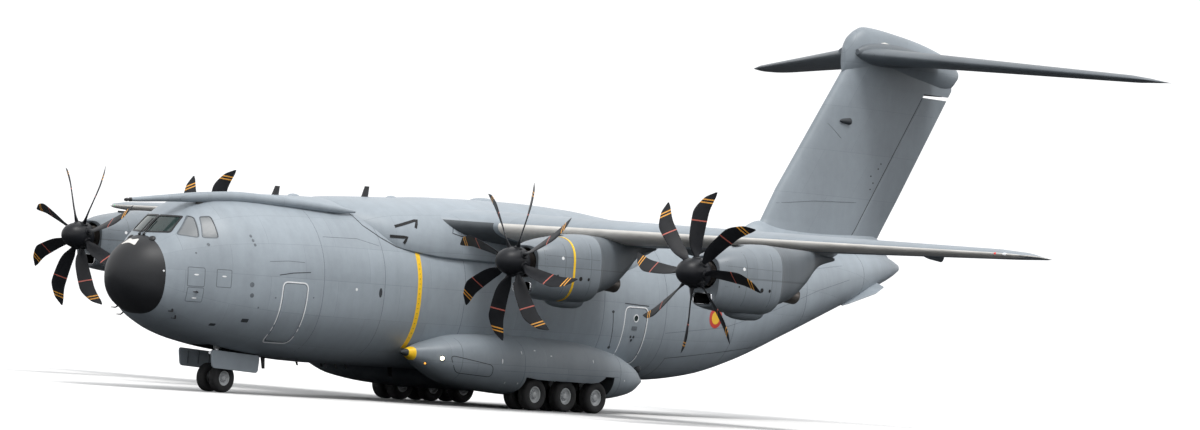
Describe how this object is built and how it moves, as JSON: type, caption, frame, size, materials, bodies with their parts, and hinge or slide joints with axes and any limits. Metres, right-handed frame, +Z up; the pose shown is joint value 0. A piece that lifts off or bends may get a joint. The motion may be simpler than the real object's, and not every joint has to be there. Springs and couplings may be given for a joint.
{
  "type": "military transport plane, 1:2 scale model",
  "caption": "Unarmed four-propeller military transport plane with a high wing, T-tail, rear ramp and side sponsons, parked on its wheels.",
  "frame": {"origin": "on the ground, in the middle of the length and width of the parked aircraft", "axes": "+Y runs aft from nose to tail, +X to the port wing tip, +Z up"},
  "size_m": [21.2, 22.6564, 7.4442],
  "materials": {
    "skin_grey": "satin blue-grey paint over aluminium",
    "composite_grey": "satin blue-grey paint over carbon composite",
    "radome_black": "matte black",
    "blade_black": "satin black composite",
    "tyre_black": "matte",
    "gear_steel": "painted light grey",
    "engine_steel": "dull",
    "cockpit_glass": "tinted clear",
    "seat_dark": "matte",
    "cabin_grey": "matte paint"
  },
  "bodies": {
    "airframe": {"centre_fuselage": "skin_grey", "cockpit_floor": "cabin_grey", "cockpit_glazing": "cockpit_glass", "engine_left_inboard": "engine_steel", "engine_left_outboard": "engine_steel", "engine_right_inboard": "engine_steel", "engine_right_outboard": "engine_steel", "fin": "composite_grey", "fin_cap": "composite_grey", "instrument_panel": "cabin_grey", "main_gear_legs_left": "gear_steel", "main_gear_legs_right": "gear_steel", "nacelle_left_inboard": "skin_grey", "nacelle_left_outboard": "skin_grey", "nacelle_right_inboard": "skin_grey", "nacelle_right_outboard": "skin_grey", "nose_fuselage": "skin_grey", "nose_gear_door_left": "skin_grey", "nose_gear_door_right": "skin_grey", "nose_gear_leg": "gear_steel", "paratroop_door_left": "skin_grey", "paratroop_door_right": "skin_grey", "pilot_seats": "seat_dark", "radome": "radome_black", "rear_fuselage": "skin_grey", "refuelling_boom": "skin_grey", "sponson_left": "skin_grey", "sponson_right": "skin_grey", "tail_cone": "composite_grey", "tail_strake_left": "composite_grey", "tail_strake_right": "composite_grey", "tailplane": "composite_grey", "wing_fairing": "composite_grey", "wing_left": "composite_grey", "wing_right": "composite_grey"},
    "propeller_left_outboard": {"propeller_left_outboard": "blade_black"},
    "propeller_left_inboard": {"propeller_left_inboard": "blade_black"},
    "propeller_right_inboard": {"propeller_right_inboard": "blade_black"},
    "propeller_right_outboard": {"propeller_right_outboard": "blade_black"},
    "main_wheels_left_1": {"main_wheels_left_1": "tyre_black"},
    "main_wheels_left_2": {"main_wheels_left_2": "tyre_black"},
    "main_wheels_left_3": {"main_wheels_left_3": "tyre_black"},
    "main_wheels_right_1": {"main_wheels_right_1": "tyre_black"},
    "main_wheels_right_2": {"main_wheels_right_2": "tyre_black"},
    "main_wheels_right_3": {"main_wheels_right_3": "tyre_black"},
    "nose_steering": {"nose_steering": "gear_steel"},
    "nose_wheels": {"nose_wheels": "tyre_black"},
    "cargo_ramp": {"cargo_ramp": "skin_grey"},
    "cargo_door": {"cargo_door": "skin_grey"},
    "crew_door": {"crew_door": "skin_grey"},
    "rudder": {"rudder": "composite_grey"},
    "elevator_left": {"elevator_left": "composite_grey"},
    "aileron_left": {"aileron_left": "composite_grey"},
    "inboard_flap_left": {"inboard_flap_left": "composite_grey"},
    "outboard_flap_left": {"outboard_flap_left": "composite_grey"},
    "elevator_right": {"elevator_right": "composite_grey"},
    "aileron_right": {"aileron_right": "composite_grey"},
    "inboard_flap_right": {"inboard_flap_right": "composite_grey"},
    "outboard_flap_right": {"outboard_flap_right": "composite_grey"}
  },
  "joints": [
    {"name": "propeller_left_outboard_spin", "type": "hinge", "parent": "airframe", "child": "propeller_left_outboard", "pos_m": [7.14, -5.2855, 2.49], "axis": [0, 1, 0], "continuous": true},
    {"name": "propeller_left_inboard_spin", "type": "hinge", "parent": "airframe", "child": "propeller_left_inboard", "pos_m": [3.51, -5.5855, 2.49], "axis": [0, 1, 0], "continuous": true},
    {"name": "propeller_right_inboard_spin", "type": "hinge", "parent": "airframe", "child": "propeller_right_inboard", "pos_m": [-3.51, -5.5855, 2.49], "axis": [0, 1, 0], "continuous": true},
    {"name": "propeller_right_outboard_spin", "type": "hinge", "parent": "airframe", "child": "propeller_right_outboard", "pos_m": [-7.14, -5.2855, 2.49], "axis": [0, 1, 0], "continuous": true},
    {"name": "main_wheels_left_1_roll", "type": "hinge", "parent": "airframe", "child": "main_wheels_left_1", "pos_m": [1.54, -2.8605, 0.27462], "axis": [1, 0, 0], "continuous": true},
    {"name": "main_wheels_left_2_roll", "type": "hinge", "parent": "airframe", "child": "main_wheels_left_2", "pos_m": [1.54, -2.0605, 0.27462], "axis": [1, 0, 0], "continuous": true},
    {"name": "main_wheels_left_3_roll", "type": "hinge", "parent": "airframe", "child": "main_wheels_left_3", "pos_m": [1.54, -1.2605, 0.27462], "axis": [1, 0, 0], "continuous": true},
    {"name": "main_wheels_right_1_roll", "type": "hinge", "parent": "airframe", "child": "main_wheels_right_1", "pos_m": [-1.54, -2.8605, 0.27462], "axis": [1, 0, 0], "continuous": true},
    {"name": "main_wheels_right_2_roll", "type": "hinge", "parent": "airframe", "child": "main_wheels_right_2", "pos_m": [-1.54, -2.0605, 0.27462], "axis": [1, 0, 0], "continuous": true},
    {"name": "main_wheels_right_3_roll", "type": "hinge", "parent": "airframe", "child": "main_wheels_right_3", "pos_m": [-1.54, -1.2605, 0.27462], "axis": [1, 0, 0], "continuous": true},
    {"name": "nose_gear_steer", "type": "hinge", "parent": "airframe", "child": "nose_steering", "pos_m": [0, -8.8355, 0.45], "axis": [0, 0, 1], "range_deg": [-70, 70]},
    {"name": "nose_wheels_roll", "type": "hinge", "parent": "nose_steering", "child": "nose_wheels", "pos_m": [0, -8.8355, 0.23539], "axis": [1, 0, 0], "continuous": true},
    {"name": "cargo_ramp_hinge", "type": "hinge", "parent": "airframe", "child": "cargo_ramp", "pos_m": [0, 1.2645, 0.58], "axis": [-1, 0, 0], "range_deg": [0, 21.5]},
    {"name": "cargo_door_hinge", "type": "hinge", "parent": "airframe", "child": "cargo_door", "pos_m": [0, 7.3045, 2.4], "axis": [-1, 0, 0], "range_deg": [0, 25]},
    {"name": "crew_door_hinge", "type": "hinge", "parent": "airframe", "child": "crew_door", "pos_m": [1.045, -8.4655, 0.89], "axis": [0, 1, 0], "range_deg": [0, 112]},
    {"name": "rudder_hinge", "type": "hinge", "parent": "airframe", "child": "rudder", "pos_m": [0, 8.76807, 4.92], "axis": [0, 0.5714, 0.8207], "range_deg": [-30, 30]},
    {"name": "elevator_left_hinge", "type": "hinge", "parent": "airframe", "child": "elevator_left", "pos_m": [2.345, 10.11938, 6.897], "axis": [-0.9197, -0.3913, 0.0307], "range_deg": [-25, 20]},
    {"name": "aileron_left_hinge", "type": "hinge", "parent": "airframe", "child": "aileron_left", "pos_m": [8.895, -0.68556, 3.12117], "axis": [-0.9906, -0.1362, -0.0097], "range_deg": [-25, 25]},
    {"name": "inboard_flap_left_hinge", "type": "hinge", "parent": "airframe", "child": "inboard_flap_left", "pos_m": [2.915, -1.46461, 2.74566], "axis": [-0.9928, -0.1193, -0.0123], "range_deg": [0, 35]},
    {"name": "outboard_flap_left_hinge", "type": "hinge", "parent": "airframe", "child": "outboard_flap_left", "pos_m": [5.995, -1.08467, 2.8817], "axis": [-0.9921, -0.125, -0.011], "range_deg": [0, 35]},
    {"name": "elevator_right_hinge", "type": "hinge", "parent": "airframe", "child": "elevator_right", "pos_m": [-2.345, 10.11938, 6.897], "axis": [-0.9197, 0.3913, -0.0307], "range_deg": [-25, 20]},
    {"name": "aileron_right_hinge", "type": "hinge", "parent": "airframe", "child": "aileron_right", "pos_m": [-8.895, -0.68556, 3.12117], "axis": [-0.9906, 0.1362, 0.0097], "range_deg": [-25, 25]},
    {"name": "inboard_flap_right_hinge", "type": "hinge", "parent": "airframe", "child": "inboard_flap_right", "pos_m": [-2.915, -1.46461, 2.74566], "axis": [-0.9928, 0.1193, 0.0123], "range_deg": [0, 35]},
    {"name": "outboard_flap_right_hinge", "type": "hinge", "parent": "airframe", "child": "outboard_flap_right", "pos_m": [-5.995, -1.08467, 2.8817], "axis": [-0.9921, 0.125, 0.011], "range_deg": [0, 35]}
  ]
}
